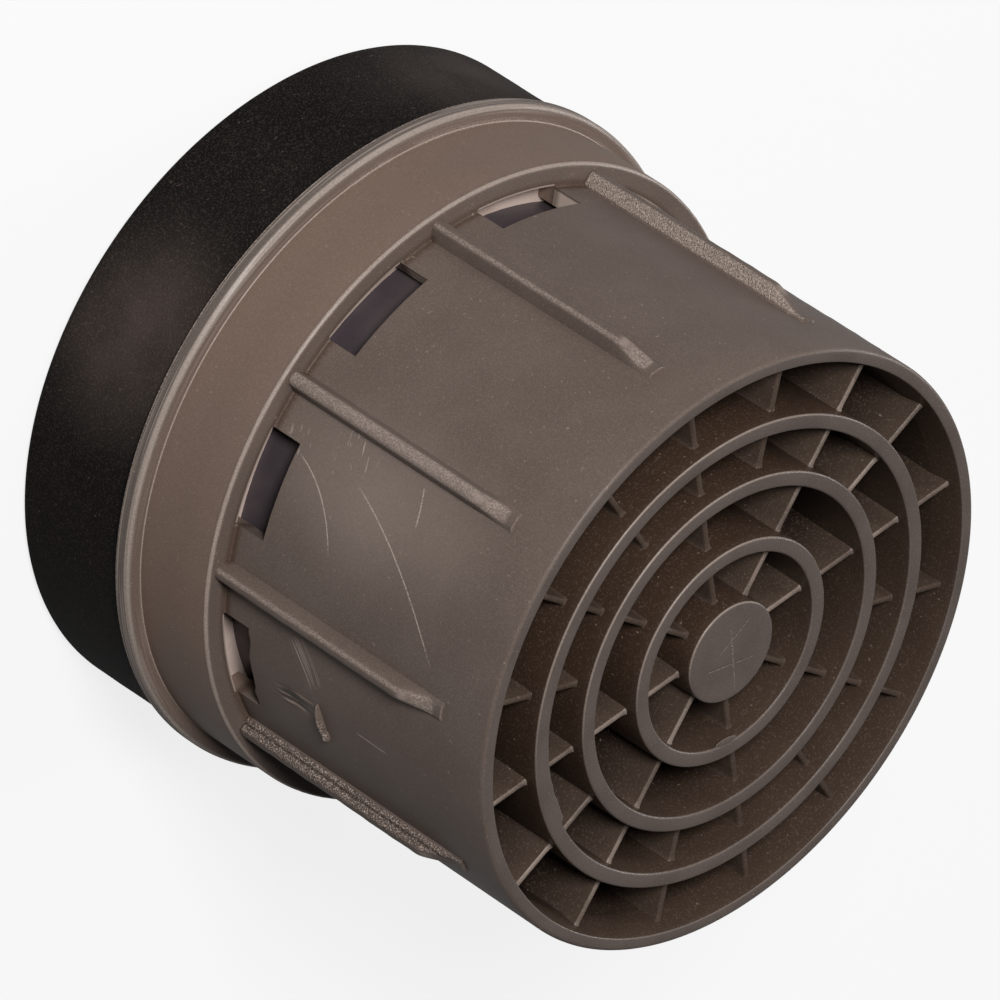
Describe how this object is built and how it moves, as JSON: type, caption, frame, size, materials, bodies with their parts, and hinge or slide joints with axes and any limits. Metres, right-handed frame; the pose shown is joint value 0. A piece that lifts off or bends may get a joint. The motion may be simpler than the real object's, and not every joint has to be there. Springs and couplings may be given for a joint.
{
  "type": "aerator insert",
  "caption": "Round aerator insert for an eyewash outlet: thick rubber washer, ribbed plastic barrel with air windows under a collar, and an outlet grille of rings and spokes.",
  "frame": {"origin": "centre of the washer's inlet face, on which the part stands", "axes": "+Z along the axis from inlet to outlet, so the outlet grille faces up; -Y passes through one barrel rib and one grille spoke"},
  "size_m": [0.0226, 0.0224, 0.0196],
  "materials": {
    "washer_rubber": "matte moulded black rubber with fine grain",
    "housing_plastic": "satin warm grey moulded plastic, scuffed",
    "strainer_plastic": "satin grey moulded plastic",
    "ring_rubber": "smooth black rubber",
    "former_plastic": "smooth pale moulded plastic",
    "spacer_plastic": "smooth dark slate violet moulded plastic",
    "grid_plastic": "satin dark grey moulded plastic"
  },
  "bodies": {
    "root": {"washer": "washer_rubber", "housing": "housing_plastic", "strainer": "strainer_plastic", "flow_ring": "ring_rubber", "jet_former": "former_plastic", "air_ring": "spacer_plastic", "inlet_grid": "grid_plastic", "outlet_grid": "grid_plastic"}
  },
  "joints": []
}
